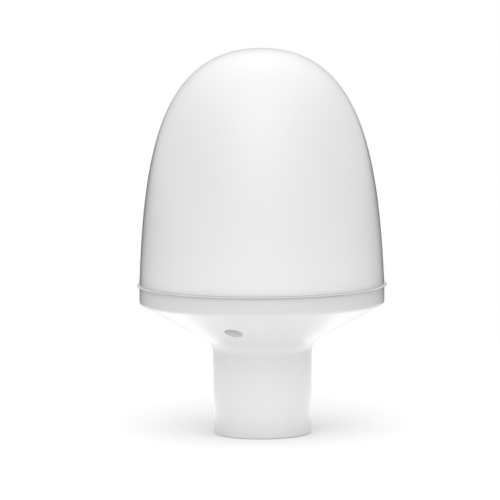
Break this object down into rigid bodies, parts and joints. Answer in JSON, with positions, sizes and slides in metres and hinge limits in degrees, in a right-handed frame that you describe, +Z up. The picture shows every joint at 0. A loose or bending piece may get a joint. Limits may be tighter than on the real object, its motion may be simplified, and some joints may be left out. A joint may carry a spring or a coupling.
{
  "type": "marine dome antenna",
  "caption": "Pole-mount marine satellite antenna: a helix and amplifier board under a tall white radome, on a flared base with a threaded mast collar.",
  "frame": {"origin": "centre of the collar's foot, on the plane that the foot stands on", "axes": "+Z up the mast axis towards the radome's apex, -Y towards the front, +X to the right seen from it"},
  "size_m": [0.1, 0.1, 0.1543],
  "materials": {
    "base_plastic": "white moulded weather-resistant plastic, satin gloss",
    "radome_plastic": "white moulded radome plastic, glossy",
    "gasket_rubber": "light grey elastomer, satin",
    "seal_rubber": "black nitrile rubber, matt",
    "stainless_steel": "A4 stainless steel, turned and lightly passivated",
    "brass": "bare machined brass",
    "nickel_plate": "nickel-plated brass, machined and satin",
    "gold_plate": "gold-plated brass, polished",
    "white_ptfe": "white fluoropolymer, waxy",
    "aluminium": "sheet aluminium, brushed",
    "circuit_laminate": "glass-epoxy laminate under green solder mask",
    "tinplate": "pressed tin-plated steel sheet",
    "former_laminate": "translucent tan glass-epoxy tube",
    "copper": "etched copper foil, lacquered",
    "cable_jacket": "brown fluoropolymer coaxial jacket"
  },
  "bodies": {
    "base": {"base_housing": "base_plastic", "seam_gasket": "gasket_rubber", "radome_o_ring": "seal_rubber", "mast_thread_insert": "nickel_plate", "connector_jack": "nickel_plate", "connector_dielectric": "white_ptfe", "connector_contact": "gold_plate", "connector_seal": "seal_rubber", "connector_lock_washer": "stainless_steel", "connector_nut": "nickel_plate", "coax_ferrule": "nickel_plate", "coax_jumper": "cable_jacket", "ground_plane": "aluminium", "circuit_board": "circuit_laminate", "board_spacer_1": "brass", "board_spacer_2": "brass", "board_spacer_3": "brass", "board_screw_1": "stainless_steel", "board_screw_2": "stainless_steel", "board_screw_3": "stainless_steel", "amplifier_shield_can": "tinplate", "filter_shield_can": "tinplate", "board_jack": "gold_plate", "board_plug": "brass", "helix_base": "white_ptfe", "helix_former": "former_laminate", "helix_arm_1": "copper", "helix_arm_2": "copper", "helix_arm_3": "copper", "helix_arm_4": "copper", "helix_cap": "circuit_laminate"},
    "radome": {"radome": "radome_plastic", "radome_insert_1": "brass", "radome_insert_2": "brass", "radome_insert_3": "brass"},
    "radome_screw_1": {"radome_screw_1": "stainless_steel", "radome_screw_seal_1": "seal_rubber"},
    "radome_screw_2": {"radome_screw_2": "stainless_steel", "radome_screw_seal_2": "seal_rubber"},
    "radome_screw_3": {"radome_screw_3": "stainless_steel", "radome_screw_seal_3": "seal_rubber"}
  },
  "joints": [
    {"name": "radome_lift", "type": "slide", "parent": "base", "child": "radome", "axis": [0, 0, 1], "range_m": [0, 0.09]},
    {"name": "radome_screw_1_slide", "type": "slide", "parent": "base", "child": "radome_screw_1", "axis": [0, 0, -1], "range_m": [0, 0.026]},
    {"name": "radome_screw_2_slide", "type": "slide", "parent": "base", "child": "radome_screw_2", "axis": [0, 0, -1], "range_m": [0, 0.026]},
    {"name": "radome_screw_3_slide", "type": "slide", "parent": "base", "child": "radome_screw_3", "axis": [0, 0, -1], "range_m": [0, 0.026]}
  ]
}
